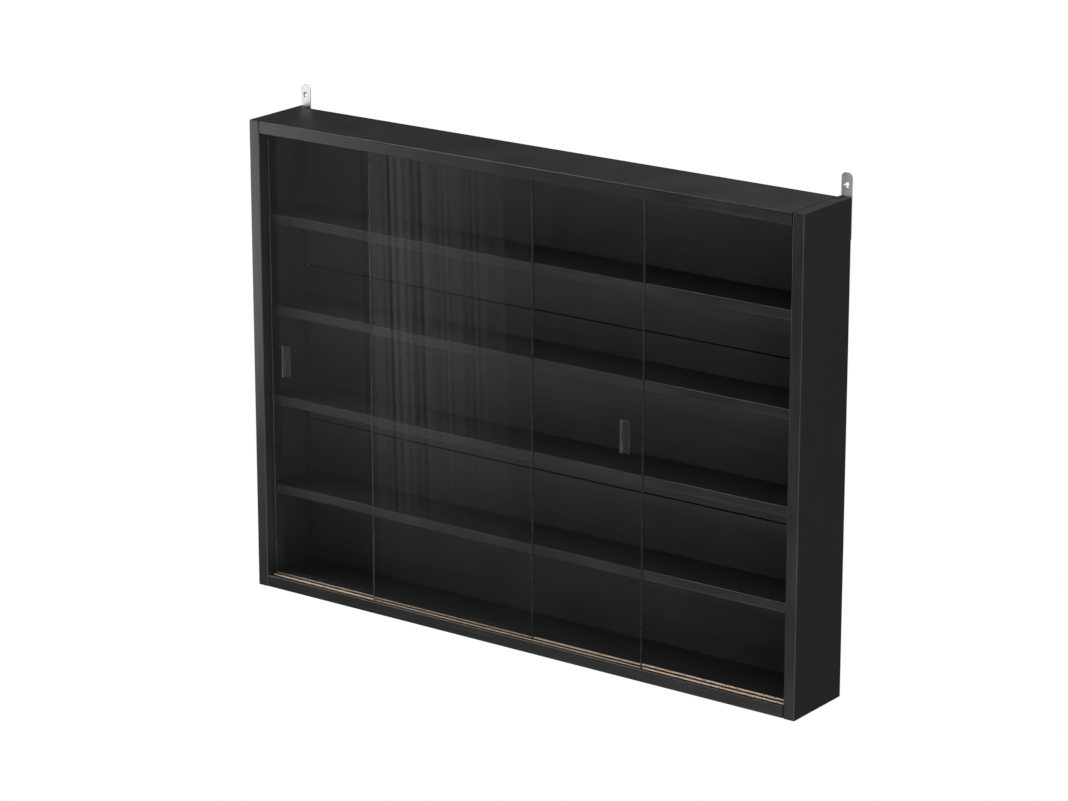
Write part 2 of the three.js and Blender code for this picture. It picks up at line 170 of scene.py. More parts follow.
# Soft lamps round the cabinet: azimuth, elevation, distance, width, height and watts
LAMPS = {
    "key": (-63, 50, 2.2, 0.9, 0.9, 19),
    "left_window": (-75, 0, 1.8, 0.8, 1.2, 10.5),
    "left_spot": (-66, 0, 1.0, 0.35, 0.5, 2.1),
    "floor_bounce": (10, -50, 2.4, 2.0, 0.8, 38),
    "low_front": (25, -25, 3.0, 1.2, 0.8, 7),
    "right_front": (55, 12, 2.6, 0.8, 1.0, 16),
    "upper_right": (38, 14, 1.3, 0.4, 0.4, 4),
    "behind": (150, 60, 3.0, 1.6, 1.6, 84),
}

# A half-drawn net curtain that glows, which the left of the glass mirrors. The six numbers are like a lamp's.
CURTAIN = (-44.3, -9, 1.84, 0.62, 1.05, 0.57)
CURTAIN_FOLDS = 60.0
CURTAIN_STARTS = (0.5, 0.53)  # where its folds fade in, across the lamp
CURTAIN_PLAIN = 0.6  # how brightly it glows beside the folds
CURTAIN_DARKEST = 0.1


def cabinet_middle():
    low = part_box("side_panel_left")[0]
    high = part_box("side_panel_right")[1]
    return (low + high) / 2


def direction(azimuth, elevation):
    """From the cabinet outwards. Azimuth 0 is straight into the room, 90 to the viewer's right."""
    a = math.radians(azimuth)
    e = math.radians(elevation)
    return Vector((math.sin(a) * math.cos(e), -math.cos(a) * math.cos(e), math.sin(e)))


def make_camera():
    data = bpy.data.cameras.new("camera")
    data.lens = CAMERA_LENS
    data.sensor_width = CAMERA_SENSOR
    data.clip_start, data.clip_end = CAMERA_CLIP
    camera = bpy.data.objects.new("camera", data)
    bpy.context.scene.collection.objects.link(camera)
    back = direction(CAMERA_AZIMUTH, CAMERA_ELEVATION)
    camera.location = cabinet_middle() + AIM_OFFSET + back * CAMERA_DISTANCE
    camera.rotation_mode = "QUATERNION"
    camera.rotation_quaternion = (-back).to_track_quat("-Z", "Y")
    bpy.context.scene.camera = camera


def area_light(name, azimuth, elevation, distance, width, height, power):
    data = bpy.data.lights.new(name, "AREA")
    data.shape = "RECTANGLE"
    data.size = width
    data.size_y = height
    data.energy = power
    light = bpy.data.objects.new(name, data)
    bpy.context.scene.collection.objects.link(light)
    out = direction(azimuth, elevation)
    light.location = cabinet_middle() + out * distance
    light.rotation_mode = "QUATERNION"
    light.rotation_quaternion = (-out).to_track_quat("-Z", "Y")
    light.visible_camera = False
    return light


def hang_curtain(lamp):
    """Gives a lamp's glow the upright folds of a net curtain, fading away towards the lamp's edges."""
    lamp.data.use_nodes = True
    tree = lamp.data.node_tree
    tree.nodes.clear()
    place = put(tree, "ShaderNodeTexCoord").outputs["UV"]
    across = put(tree, "ShaderNodeSeparateXYZ", {"Vector": place}).outputs
    wave_inputs = {"W": across[X], "Scale": CURTAIN_FOLDS, "Detail": 3.0}
    folds = put(tree, "ShaderNodeTexNoise", wave_inputs, noise_dimensions="1D").outputs["Fac"]
    cloth = {
        "Factor": spread(tree, across[X], 0.0, 1.0, *CURTAIN_STARTS),
        "A": CURTAIN_PLAIN,
        "B": spread(tree, folds, CURTAIN_DARKEST, 1.0, 0.38, 0.62),
    }
    strength = put(tree, "ShaderNodeMix", cloth, data_type="FLOAT").outputs["Result"]
    for axis in (X, Y):
        wave = put(tree, "ShaderNodeMath", {0: across[axis], 1: math.pi}, operation="MULTIPLY")
        hump = put(tree, "ShaderNodeMath", {0: wave.outputs[0]}, operation="SINE")
        faded = {0: hump.outputs[0], 1: strength}
        strength = put(tree, "ShaderNodeMath", faded, operation="MULTIPLY", use_clamp=True).outputs[0]
    glow = put(tree, "ShaderNodeEmission", {"Color": WHITE, "Strength": strength})
    put(tree, "ShaderNodeOutputLight", {"Surface": glow.outputs[0]})


def make_world():
    """White to the camera, and a dim soft fill for everything else."""
    world = bpy.data.worlds.new("studio")
    world.use_nodes = True
    tree = world.node_tree
    tree.nodes.clear()
    look = put(tree, "ShaderNodeTexCoord").outputs["Generated"]
    towards = put(tree, "ShaderNodeSeparateXYZ", {"Vector": look}).outputs
    strength = put(tree, "ShaderNodeValue").outputs[0]
    strength.default_value = WORLD_FILL
    for axis, sign, level in WORLD_TOWARDS.values():
        turned_to = {0: towards[axis], 1: sign}
        facing = put(tree, "ShaderNodeMath", turned_to, operation="MULTIPLY", use_clamp=True)
        more = {0: facing.outputs[0], 1: level, 2: strength}
        strength = put(tree, "ShaderNodeMath", more, operation="MULTIPLY_ADD").outputs[0]
    seen = put(tree, "ShaderNodeLightPath").outputs["Is Camera Ray"]
    fill = put(tree, "ShaderNodeBackground", {"Color": WHITE, "Strength": strength})
    white = put(tree, "ShaderNodeBackground", {"Color": WHITE, "Strength": 1.0})
    mix = put(tree, "ShaderNodeMixShader", {0: seen, 1: fill.outputs[0], 2: white.outputs[0]})
    put(tree, "ShaderNodeOutputWorld", {"Surface": mix.outputs[0]})
    bpy.context.scene.world = world


def make_floor():
    """A plain white floor, which only the camera sees, and only from above."""
    bm = bmesh.new()
    bmesh.ops.create_grid(bm, x_segments=1, y_segments=1, size=FLOOR_SIZE / 2)
    mesh = bpy.data.meshes.new("floor")
    bm.to_mesh(mesh)
    bm.free()
    material, tree = new_material("pale_floor")
    above = put(tree, "ShaderNodeEmission", {"Color": WHITE, "Strength": 1.0})
    below = put(tree, "ShaderNodeBsdfTransparent", {"Color": WHITE})
    side = put(tree, "ShaderNodeNewGeometry").outputs["Backfacing"]
    sides = {0: side, 1: above.outputs[0], 2: below.outputs[0]}
    finish_material(tree, put(tree, "ShaderNodeMixShader", sides))
    mesh.materials.append(material)
    floor = bpy.data.objects.new("floor", mesh)
    floor.location.z = cad_bounds[0].z - FLOOR_DROP
    floor.visible_diffuse = False
    floor.visible_glossy = False
    floor.visible_transmission = False
    floor.visible_shadow = False
    bpy.context.scene.collection.objects.link(floor)


def make_studio():
    make_camera()
    make_world()
    make_floor()
    for name, (azimuth, elevation, distance, width, height, watts) in LAMPS.items():
        lamp = area_light(name, azimuth, elevation, distance, width, height, watts)
        lamp.visible_transmission = False
    hang_curtain(area_light("sheen", *CURTAIN))
    bpy.context.scene.view_settings.view_transform = "Standard"


# ---- Materials ----

def melamine(name, along, level, rough, streaks=0.3):
    """Black melamine film: a fine printed grain along one axis, a pearled surface and a faint mottle."""
    material, tree = new_material(name)
    across = [1 if axis == along else 60 for axis in (X, Y, Z)]
    grain = noise(tree, 9, detail=6, roughness=0.62, stretch=across)
    mottle = noise(tree, 14, detail=3)
    pearl = noise(tree, 1900, detail=2)
    stops = [(0.3, level * (1 - streaks)), (0.52, level), (0.75, level * (1 + 2 * streaks))]
    inputs = {
        "Base Color": ramp(tree, grain, [(place, grey(tone)) for place, tone in stops]),
        "Roughness": spread(tree, mottle, rough - 0.05, rough + 0.05),
        "Normal": bump(tree, pearl, 0.02 * MM, 0.6),
    }
    finish_material(tree, put(tree, "ShaderNodeBsdfPrincipled", inputs))
    return material


def shadow_gap():
    """Painted shade: matt near-black, darker than the film, for the faces deep in a joint."""
    material, tree = new_material("shadow_gap")
    shade_mottle = noise(tree, 800, detail=3)
    inputs = {
        "Base Color": ramp(tree, shade_mottle, [(0.35, grey(0.0015)), (0.7, grey(0.003))]),
        "Roughness": 0.95,
        "Specular IOR Level": 0.1,
    }
    finish_material(tree, put(tree, "ShaderNodeBsdfPrincipled", inputs))
    return material


def particle_board():
    """The raw sawn core: flat tan chips, pale and dark, with pits between them."""
    material, tree = new_material("particle_board")
    place = put(tree, "ShaderNodeTexCoord").outputs["Object"]
    mapped = put(tree, "ShaderNodeMapping", {"Vector": place, "Scale": (420, 900, 900)})
    chips = put(tree, "ShaderNodeTexVoronoi", {"Vector": mapped.outputs[0], "Scale": 1.0})
    fibres = noise(tree, 1500, roughness=0.6, stretch=(0.3, 1, 1))
    blend = {"Factor": 0.35, "A": chips.outputs["Color"], "B": fibres}
    tone = put(tree, "ShaderNodeMix", blend, data_type="RGBA")
    level = put(tree, "ShaderNodeRGBToBW", {"Color": tone.outputs["Result"]}).outputs[0]
    colours = [(0.15, (0.42, 0.29, 0.19)), (0.5, (0.72, 0.57, 0.43)), (0.85, (0.86, 0.74, 0.6))]
    inputs = {
        "Base Color": ramp(tree, level, colours),
        "Roughness": 0.9,
        "Normal": bump(tree, chips.outputs["Distance"], 0.15 * MM, 0.7),
    }
    finish_material(tree, put(tree, "ShaderNodeBsdfPrincipled", inputs))
    return material


def fibre_back():
    """The brown rough back of hardboard, with the mesh print of its press."""
    material, tree = new_material("fibre_back")
    fibres = noise(tree, 700, detail=5, roughness=0.65)
    clouds = noise(tree, 30)
    place = put(tree, "ShaderNodeTexCoord").outputs["Object"]
    rough = fibres
    for wires in ("X", "Z"):
        mesh = {"Vector": place, "Scale": 130.0}
        ridges = put(tree, "ShaderNodeTexWave", mesh, bands_direction=wires).outputs["Fac"]
        rough = put(tree, "ShaderNodeMath", {0: rough, 1: ridges}, operation="ADD").outputs[0]
    mixed = put(tree, "ShaderNodeMix", {"Factor": 0.3, "A": fibres, "B": clouds}, data_type="FLOAT")
    colours = [(0.3, (0.1, 0.052, 0.024)), (0.5, (0.17, 0.095, 0.045)), (0.7, (0.25, 0.15, 0.08))]
    inputs = {
        "Base Color": ramp(tree, mixed.outputs["Result"], colours),
        "Roughness": 0.85,
        "Normal": bump(tree, rough, 0.06 * MM, 0.6),
    }
    finish_material(tree, put(tree, "ShaderNodeBsdfPrincipled", inputs))
    return material


def paper_tape():
    material, tree = new_material("paper_tape")
    fibres = noise(tree, 500, roughness=0.6, stretch=(0.15, 1, 1))
    inputs = {
        "Base Color": ramp(tree, fibres, [(0.35, (0.36, 0.235, 0.125)), (0.65, (0.46, 0.32, 0.18))]),
        "Roughness": spread(tree, fibres, 0.38, 0.55),
        "Normal": bump(tree, fibres, 0.02 * MM, 0.5),
    }
    finish_material(tree, put(tree, "ShaderNodeBsdfPrincipled", inputs))
    return material


def metal(name, colour, rough, stretch, scale=700, metallic=1.0):
    """Plated steel, brushed where the noise is stretched, with faint clouding."""
    material, tree = new_material(name)
    brushing = noise(tree, scale, detail=3, roughness=0.6, stretch=stretch)
    clouds = noise(tree, 60, detail=3)
    shade = [tuple(c * k for c in colour) for k in (0.86, 1.08)]
    inputs = {
        "Base Color": ramp(tree, clouds, [(0.35, shade[0]), (0.65, shade[1])]),
        "Metallic": metallic,
        "Roughness": spread(tree, brushing, rough - 0.07, rough + 0.07),
        "Normal": bump(tree, brushing, 0.01 * MM, 0.5),
    }
    finish_material(tree, put(tree, "ShaderNodeBsdfPrincipled", inputs))
    return material


def beech():
    material, tree = new_material("beech")
    grain = noise(tree, 60, detail=5, roughness=0.6, stretch=(1, 12, 12))
    flecks = noise(tree, 900, detail=2, stretch=(0.2, 1, 1))
    mixed = put(tree, "ShaderNodeMix", {"Factor": 0.35, "A": grain, "B": flecks}, data_type="FLOAT")
    colours = [(0.35, (0.5, 0.3, 0.15)), (0.5, (0.64, 0.43, 0.24)), (0.68, (0.74, 0.54, 0.34))]
    inputs = {
        "Base Color": ramp(tree, mixed.outputs["Result"], colours),
        "Roughness": 0.72,
        "Normal": bump(tree, flecks, 0.03 * MM, 0.5),
    }
    finish_material(tree, put(tree, "ShaderNodeBsdfPrincipled", inputs))
    return material


def moulded_black():
    material, tree = new_material("moulded_black")
    spark = noise(tree, 2600, detail=2)
    inputs = {
        "Base Color": ramp(tree, spark, [(0.3, grey(0.012)), (0.7, grey(0.022))]),
        "Roughness": spread(tree, spark, 0.38, 0.52),
        "Normal": bump(tree, spark, 0.02 * MM, 0.6),
    }
    finish_material(tree, put(tree, "ShaderNodeBsdfPrincipled", inputs))
    return material


def see_through(name, inputs, shade):
    """A clear material that lets lamps and the room light what is behind it."""
    material, tree = new_material(name)
    body = put(tree, "ShaderNodeBsdfPrincipled", inputs(tree))
    path = put(tree, "ShaderNodeLightPath")
    clear = put(tree, "ShaderNodeBsdfTransparent", {"Color": (*shade, 1)})
    for ray in ("Is Shadow Ray", "Is Diffuse Ray"):
        choice = {0: path.outputs[ray], 1: body.outputs[0], 2: clear.outputs[0]}
        body = put(tree, "ShaderNodeMixShader", choice)
    finish_material(tree, body)
    return material


def clear_glass():
    """Float glass with a trace of iron green, and a very faint film of handling on its polish."""
    def inputs(tree):
        film = noise(tree, 25, detail=3)
        return {
            "Base Color": (0.982, 0.99, 0.986, 1),
            "Transmission Weight": 1.0,
            "IOR": 1.5,
            "Roughness": spread(tree, film, 0.0, 0.006),
        }
    return see_through("clear_glass", inputs, (0.95, 0.958, 0.954))


def ground_glass_edge():
    """The ground edge of a pane: green and half clear, with fine grinding marks along it."""
    def inputs(tree):
        marks = noise(tree, 1600, detail=3, roughness=0.6, stretch=(1, 1, 0.1))
        return {
            "Base Color": ramp(tree, marks, [(0.3, (0.014, 0.02, 0.018)), (0.7, (0.032, 0.042, 0.038))]),
            "Transmission Weight": 0.3,
            "IOR": 1.5,
            "Roughness": spread(tree, marks, 0.22, 0.38),
            "Normal": bump(tree, marks, 0.01 * MM, 0.5),
        }
    return see_through("ground_glass_edge", inputs, (0.7, 0.8, 0.76))


def clear_plastic():
    """Extruded clear acrylic, with the draw lines of its die along it."""
    def inputs(tree):
        draw = noise(tree, 2200, detail=2, stretch=(1, 1, 0.03))
        return {
            "Base Color": (0.97, 0.98, 0.98, 1),
            "Transmission Weight": 0.996,
            "IOR": 1.49,
            "Roughness": spread(tree, draw, 0.04, 0.1),
            "Normal": bump(tree, draw, 0.01 * MM, 0.25),
        }
    return see_through("clear_plastic", inputs, (0.8, 0.82, 0.82))


# How much light the film's face and edging give back, and the lighter grey of the arrises, a painted
# highlight
FACE_BLACK = 0.010
EDGE_BLACK = 0.0115
ARRIS_HIGHLIGHT_GREY = 0.035

FACE_X = melamine("melamine_across", X, FACE_BLACK, 0.47)
FACE_Z = melamine("melamine_upright", Z, FACE_BLACK, 0.47)
EDGE_X = melamine("edging_across", X, EDGE_BLACK, 0.4, streaks=0.45)
EDGE_Z = melamine("edging_upright", Z, EDGE_BLACK, 0.4, streaks=0.45)
# Painted highlight: the arris materials are three times lighter than the edging, for a line of light along
# the arrises
ARRIS_HIGHLIGHT_X = melamine("arris_highlight_across", X, ARRIS_HIGHLIGHT_GREY, 0.32)
ARRIS_HIGHLIGHT_Z = melamine("arris_highlight_upright", Z, ARRIS_HIGHLIGHT_GREY, 0.32)
GAP_SHADE = shadow_gap()
BACK_FACE = melamine("painted_hardboard", X, FACE_BLACK * 1.15, 0.5)
RAW_CORE = particle_board()
FIBRE = fibre_back()
TAPE = paper_tape()
STEEL = metal("satin_steel", (0.62, 0.615, 0.6), 0.4, (1, 1, 0.04), metallic=0.5)
ZINC = metal("bright_zinc", (0.6, 0.62, 0.65), 0.3, (1, 1, 1), 260)
BEECH = beech()
BLACK_PLASTIC = moulded_black()
GLASS = clear_glass()
GLASS_EDGE = ground_glass_edge()
CLEAR_PLASTIC = clear_plastic()


# ---- Mesh helpers ----

def nodes_of(prefix):
    return sorted(node for node in SLOT_OF if node.startswith(prefix))


def stand_for(node, bm, materials, smooth_below=35):
    """Turns a mesh made in the row frame into the finished piece that is seen in a CAD node's place."""
    bmesh.ops.recalc_face_normals(bm, faces=bm.faces)
    many_sided = [face for face in bm.faces if len(face.verts) > 4]
    bmesh.ops.triangulate(bm, faces=many_sided, ngon_method="BEAUTY")
    mesh = bpy.data.meshes.new(node + "_finished")
    bm.to_mesh(mesh)
    bm.free()
    for material in materials:
        mesh.materials.append(material)
    mesh.shade_smooth()
    mesh.set_sharp_from_angle(angle=math.radians(smooth_below))
    made = bpy.data.objects.new(node + "_finished", mesh)
    bpy.context.scene.collection.objects.link(made)
    made.modifiers.new("face_weighted_normals", "WEIGHTED_NORMAL").keep_sharp = True
    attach(made, BODY_OF[node])
    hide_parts(node)
    return made


def cad_mesh(node):
    """A welded copy of a CAD node's mesh, with its flat faces whole again."""
    bm = bmesh.new()
    bm.from_mesh(frame["nodes"][node].data)
    bmesh.ops.remove_doubles(bm, verts=bm.verts, dist=WELD)
    bmesh.ops.dissolve_limit(bm, angle_limit=math.radians(0.5), verts=bm.verts, edges=bm.edges)
    return bm


def box_planes(point, low, high):
    """The sides of a box that a point lies on, as (axis, which end)."""
    found = set()
    for axis in (X, Y, Z):
        for end, corner in enumerate((low, high)):
            if abs(point[axis] - corner[axis]) < TOUCH:
                found.add((axis, end))
    return found


def shared_planes(edge, low, high):
    """The sides of a box that a whole edge lies in."""
    return box_planes(edge.verts[0].co, low, high) & box_planes(edge.verts[1].co, low, high)


def round_over(bm, edges, radius, steps):
    settings = {"affect": "EDGES", "profile": 0.5, "clamp_overlap": True}
    bmesh.ops.bevel(bm, geom=edges, offset=radius, segments=steps, **settings)


def ease_box_edges(bm, low, high, radius, steps=3, along=None):
    """Rounds the edges of a mesh that lie in the edges of its box: all of them, or those along one axis."""
    edges = []
    for edge in bm.edges:
        shared = shared_planes(edge, low, high)
        if len(shared) >= 2 and (along is None or all(axis != along for axis, end in shared)):
            edges.append(edge)
    round_over(bm, edges, radius, steps)


def ease_ends(bm, low, high, radius, along, steps=2):
    """Rounds the rims of a board's two sawn ends."""
    edges = []
    for edge in bm.edges:
        at_end = any(axis == along for axis, end in shared_planes(edge, low, high))
        outer = all(shared_planes(edge, low, high) & box_planes(v.co, low, high) for v in edge.verts)
        if at_end and outer and edge.is_manifold and edge.calc_face_angle() > math.radians(60):
            edges.append(edge)
    round_over(bm, edges, radius, steps)


def depth_inside(point, low, high):
    return min(min(point[axis] - low[axis], high[axis] - point[axis]) for axis in (X, Y, Z))


# ---- Boards ----

# A board's materials in order: its film on the face, edging and arris with a painted highlight, its raw core,
# and the painted shade of its joints
FACE, EDGING, ARRIS_HIGHLIGHT, CORE, JOINT_SHADE = range(5)


def score_ends(bm, low, high):
    """Cuts lines into a level board's sawn ends, round the margin that is painted with the seam's shade."""
    for point, normal in (
        ((0, low.y + SHADED_END_MARGIN, 0), (0, 1, 0)),
        ((0, 0, low.z + SHADED_END_MARGIN), (0, 0, 1)),
        ((0, 0, high.z - SHADED_END_MARGIN), (0, 0, 1)),
    ):
        upright = [face for face in bm.faces if abs(face.normal.x) > FLAT]
        ends = [face for face in upright if abs(face.calc_center_median().x) > high.x - TOUCH]
        edges = {edge for face in ends for edge in face.edges}
        verts = {vert for face in ends for vert in face.verts}
        parts = [*verts, *edges, *ends]
        bmesh.ops.bisect_plane(bm, geom=parts, plane_co=point, plane_no=normal, dist=TOUCH)


def dress_board(node, film, along, seam=0.0, end_ease=SAWN_EASE):
    """A board along an axis, with eased edges, edging on its front and raw core in its cuts and back.

    film is its face, edging and highlighted arris materials, and seam the gap left at each of its ends.
    """
    low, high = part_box(node)
    bm = cad_mesh(node)
    for vert in bm.verts:
        for axis, end in box_planes(vert.co, low, high):
            if axis == along:
                vert.co[axis] += -seam if end else seam
    low[along] += seam
    high[along] -= seam
    raw_sides = {(Y, 1)}
    if along == X:
        raw_sides |= {(X, 0), (X, 1)}
        score_ends(bm, low, high)
    ease_box_edges(bm, low, high, BOARD_EASE, along=along)
    ease_ends(bm, low, high, end_ease, along)
    bmesh.ops.dissolve_degenerate(bm, dist=2 * TOUCH, edges=bm.edges)
    for part in bm.faces:
        centre = part.calc_center_median()
        in_raw_side = bool(raw_sides & box_planes(centre, low, high))
        near_film = centre.y < low.y + SHADED_END_MARGIN or min(centre.z - low.z, high.z - centre.z) < SHADED_END_MARGIN
        flat = max(map(abs, part.normal)) > FLAT
        # Painted shade on the margins of a sawn end, deep in the seam
        if flat and in_raw_side and near_film and abs(part.normal.x) > FLAT:
            part.material_index = JOINT_SHADE
        elif flat and ((in_raw_side and not near_film) or depth_inside(centre, low, high) > SKIN):
            part.material_index = CORE
        elif centre.y < low.y + SKIN and part.normal.y < -0.2:
            # Painted highlight on the front arrises that turn to the right or upwards; the rest keep the
            # plain edging
            gets_highlight = max(part.normal.x, part.normal.z) > 0.1
            part.material_index = ARRIS_HIGHLIGHT if gets_highlight else EDGING
        else:
            part.material_index = FACE
    stand_for(node, bm, [*film, RAW_CORE, GAP_SHADE])


def make_boards():
    for side in ("left", "right"):
        dress_board("side_panel_" + side, [FACE_Z, EDGE_Z, ARRIS_HIGHLIGHT_Z], Z, end_ease=SEAM_EASE)
    for node in ("top_panel", "bottom_panel"):
        dress_board(node, [FACE_X, EDGE_X, ARRIS_HIGHLIGHT_X], X, seam=SEAM, end_ease=SEAM_EASE)
    for node in nodes_of("shelf_"):
        if "dowel" not in node:
            dress_board(node, [FACE_X, EDGE_X, ARRIS_HIGHLIGHT_X], X, seam=SHELF_SEAM)


def make_back():
    """Hardboard strips: painted in front, fibre behind, and painted shade on their upper and lower edges,
    where two of them meet.
    """
    for node in nodes_of("back_panel_"):
        low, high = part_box(node)
        bm = cad_mesh(node)
        ease_box_edges(bm, low, high, STRIP_EASE, 2)
        for part in bm.faces:
            if part.normal.y > 0.5:
                part.material_index = 1
            # Painted shade on the edges facing down or straight up
            elif part.normal.z < -0.2 or part.normal.z > 0.9:
                part.material_index = 2
        stand_for(node, bm, [BACK_FACE, FIBRE, GAP_SHADE])
    for node in nodes_of("back_tape_"):
        make_tape(node)


TAPE_COLUMNS = 60
TAPE_RIPPLE = 0.12 * MM
TAPE_INSET = 0.2 * MM  # how far in its edges lie on average, to leave room for the ripple
TAPE_DIP = 0.1 * MM
TAPE_ROWS = (0, 0.04, 0.3, 0.46, 0.5, 0.54, 0.7, 0.96, 1)  # shares of its height; it dips at 0.5


def make_tape(node):
    """Tape pressed over a joint: it dips a little along the gap, with slightly wavy edges."""
    low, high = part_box(node)
    bm = bmesh.new()
    grid = []
    for column in range(TAPE_COLUMNS + 1):
        x = low.x + (high.x - low.x) * column / TAPE_COLUMNS
        wave = math.sin(column * 1.7) + 0.6 * math.sin(column * 0.53 + 1)
        rows = []
        for height in TAPE_ROWS:
            z = low.z + (high.z - low.z) * height
            if height in (0, 1):
                inwards = 1 - 2 * height
                z += inwards * (wave * TAPE_RIPPLE + TAPE_INSET)
            y = high.y - (TAPE_DIP if height == 0.5 else 0)
            rows.append((bm.verts.new((x, low.y, z)), bm.verts.new((x, y, z))))
        grid.append(rows)
    for a, b in zip(grid, grid[1:]):
        for i in range(len(TAPE_ROWS) - 1):
            # Painted shade on the gummed face, which shows through the gap between strips
            gummed = bm.faces.new((a[i][0], b[i][0], b[i + 1][0], a[i + 1][0]))
            gummed.material_index = 1
            bm.faces.new((a[i][1], a[i + 1][1], b[i + 1][1], b[i][1]))
        bm.faces.new((a[0][0], a[0][1], b[0][1], b[0][0]))
        bm.faces.new((a[-1][0], b[-1][0], b[-1][1], a[-1][1]))
    for rows in (grid[0], grid[-1]):
        for i in range(len(TAPE_ROWS) - 1):
            bm.faces.new((rows[i][0], rows[i + 1][0], rows[i + 1][1], rows[i][1]))
    stand_for(node, bm, [TAPE, GAP_SHADE])


# ---- Glass doors and pulls ----

def make_doors():
    for place in ("front", "rear"):
        node = "glass_door_" + place
        low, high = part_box(node)
        bm = cad_mesh(node)
        ease_box_edges(bm, low, high, GLASS_ARRIS, 1)
        for part in bm.faces:
            part.material_index = 0 if abs(part.normal.y) > FLAT else 1
        stand_for(node, bm, [GLASS, GLASS_EDGE], 20)
        make_pull("finger_pull_" + place)


PULL_BASE = 1.2 * MM
PULL_RIDGE = 2 * MM
PULL_ROOT = 0.5 * MM  # radius where the ridge meets its base
ADHESIVE = 0.12 * MM  # the thin clear tape between a pull and its pane


def arc(centre, radius, start, end, steps):
    """Points on an arc, in degrees."""
    points = []
    for step in range(steps + 1):
        angle = math.radians(start + (end - start) * step / steps)
        points.append((centre[0] + radius * math.cos(angle), centre[1] + radius * math.sin(angle)))
    return points


def extrude(outline, place, thickness):
    """A prism of an outline. place turns an outline point and a share of the thickness into a 3-D point."""
    bm = bmesh.new()
    rings = [[bm.verts.new(place(u, v, t)) for u, v in outline] for t in (0, thickness)]
    bm.faces.new(rings[0])
    bm.faces.new(reversed(rings[1]))
    count = len(outline)
    for i in range(count):
        j = (i + 1) % count
        bm.faces.new((rings[0][i], rings[1][i], rings[1][j], rings[0][j]))
    return bm


def ease_rims(bm, radius, steps=2):
    """Rounds the rims between an extrusion's two caps and its wall."""
    caps = sorted(bm.faces, key=lambda f: len(f.verts))[-2:]
    rims = {edge for cap in caps for edge in cap.edges}
    round_over(bm, list(rims), radius, steps)


def make_pull(node):
    """A thin clear base on the glass, with a rounded ridge standing along its left edge."""
    low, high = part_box(node)
    high.y -= ADHESIVE
    width = high.x - low.x
    proud = high.y - low.y
    edge = PULL_BASE / 2
    tip = PULL_RIDGE / 2
    outline = [(0, 0), (width, 0), (width, edge)]
    outline += arc((width - edge, edge), edge, 0, 90, 5)
    outline += arc((PULL_RIDGE + PULL_ROOT, PULL_BASE + PULL_ROOT), PULL_ROOT, 270, 180, 4)
    outline += arc((tip, proud - tip), tip, 0, 180, 12)
    bm = extrude(outline, lambda u, v, t: (low.x + u, high.y - v, low.z + t), high.z - low.z)
    bmesh.ops.remove_doubles(bm, verts=bm.verts, dist=WELD)
    ease_rims(bm, PLASTIC_EASE)
    stand_for(node, bm, [CLEAR_PLASTIC])


# ---- Turned pieces ----

# Fasteners, as sizes of the real ones
SCREW_RADIUS = 1.5 * MM
SCREW_PITCH = 1.35 * MM
SCREW_THREAD = 0.4 * MM
SCREW_TIP = 3 * MM
SCREW_HEAD_RADIUS = 3 * MM
SCREW_HEAD_HEIGHT = 1.5 * MM
NAIL_RADIUS = 0.8 * MM
NAIL_HEAD_THICKNESS = 0.8 * MM
FLUTES = 18
FLUTE_DEPTH = 0.22 * MM
DOWEL_CHAMFER = 0.8 * MM
BOLT_THREADED = 10 * MM
BOLT_PITCH = 1.25 * MM
BOLT_THREAD = 0.5 * MM
BOLT_RADIUS = 2.5 * MM
COLLAR_RADIUS = 3.6 * MM
COLLAR_LENGTH = 8 * MM
NECK_RADIUS = 2.4 * MM
BALL_RADIUS = 3.5 * MM
BALL_HALF = 2 * MM
CAP_THICKNESS = 1 * MM
CAP_ROUNDING = 0.6 * MM
PEG_RADIUS = 2.2 * MM
PEG_CHAMFER = 0.4 * MM

# A driver's cross, at the face of a head. Its blades are turned off the head's own radial edges.
CROSS_LENGTH = 3.4 * MM
CROSS_WIDTH = 0.75 * MM
CROSS_DEPTH = 1.1 * MM
CROSS_TURNS = (50, 140)
CROSS_FLOOR = (0.45, 0.7)  # its length and width at the bottom, as shares of those at the face


def turned(profile, steps=32, surface=None):
    """A mesh turned about Y from (radius, y) pairs. surface(radius, y, angle) may shape the radius."""
    bm = bmesh.new()
    rings = []
    for radius, y in profile:
        if radius == 0:
            rings.append([bm.verts.new((0, y, 0))])
            continue
        ring = []
        for step in range(steps):
            angle = 2 * math.pi * step / steps
            r = surface(radius, y, angle) if surface else radius
            ring.append(bm.verts.new((r * math.sin(angle), y, r * math.cos(angle))))
        rings.append(ring)
    for a, b in zip(rings, rings[1:]):
        for step in range(steps):
            after = (step + 1) % steps
            if len(a) == 1:
                bm.faces.new((a[0], b[step], b[after]))
            elif len(b) == 1:
                bm.faces.new((a[step], b[0], a[after]))
            else:
                bm.faces.new((a[step], b[step], b[after], a[after]))
    return bm


def rise(radius, start, end, spacing):
    """Rings of one radius from start to end, close enough together for a thread."""
    count = max(1, round(abs(end - start) / spacing))
    return [(radius, start + (end - start) * i / count) for i in range(count + 1)]


def thread(start, end, pitch, depth):
    """A surface that cuts a thread between two heights, fading in over half a turn at each end."""
    def surface(radius, y, angle):
        if not start <= y <= end:
            return radius
        turn = (y / pitch - angle / (2 * math.pi)) % 1
        fade = min(1, (y - start) / (pitch / 2), (end - y) / (pitch / 2))
        return radius - depth * fade * abs(2 * turn - 1)
    return surface


def placed(bm, matrix):
    """Moves a mesh and returns it."""
    bmesh.ops.transform(bm, matrix=matrix, verts=bm.verts)
    return bm


